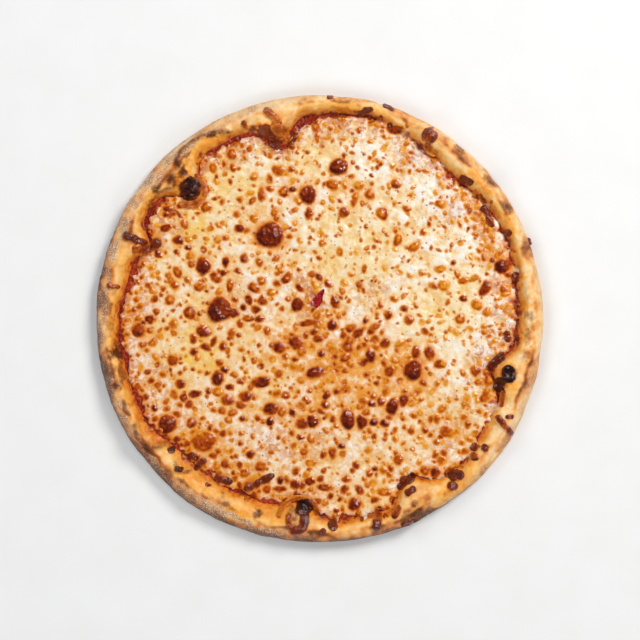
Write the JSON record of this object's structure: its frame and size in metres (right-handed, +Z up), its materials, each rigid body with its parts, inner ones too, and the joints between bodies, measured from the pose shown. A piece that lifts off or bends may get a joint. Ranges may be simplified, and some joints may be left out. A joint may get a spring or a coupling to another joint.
{
  "type": "cheese pizza",
  "caption": "Whole uncut round cheese pizza: a puffed, browned dough rim round tomato sauce and a melted sheet of cheese with toasted bubbles.",
  "frame": {"origin": "middle of the flat underside of the crust", "axes": "+Z up, out of the cheese; +X to the right and +Y away, as the picture shows the pizza from above"},
  "size_m": [0.305, 0.305, 0.0202],
  "materials": {
    "baked_dough": "matte",
    "tomato_sauce": "gloss",
    "melted_cheese": "satin",
    "browned_cheese": "satin"
  },
  "bodies": {
    "root": {"crust": "baked_dough", "sauce": "tomato_sauce", "cheese": "melted_cheese", "shred_top": "browned_cheese", "shred_top_stub": "browned_cheese", "shred_left": "browned_cheese", "shred_upper_left": "browned_cheese", "shred_bottom": "browned_cheese", "shred_right": "browned_cheese", "shred_right_stub": "browned_cheese", "shred_lower_right": "browned_cheese", "shred_lower_right_curl": "browned_cheese", "shred_fold": "browned_cheese", "shred_lower_left": "browned_cheese", "drop_upper_right": "browned_cheese", "drop_bottom": "browned_cheese", "drop_bottom_small": "browned_cheese", "drop_lower_left": "browned_cheese", "drop_right": "browned_cheese"}
  },
  "joints": []
}
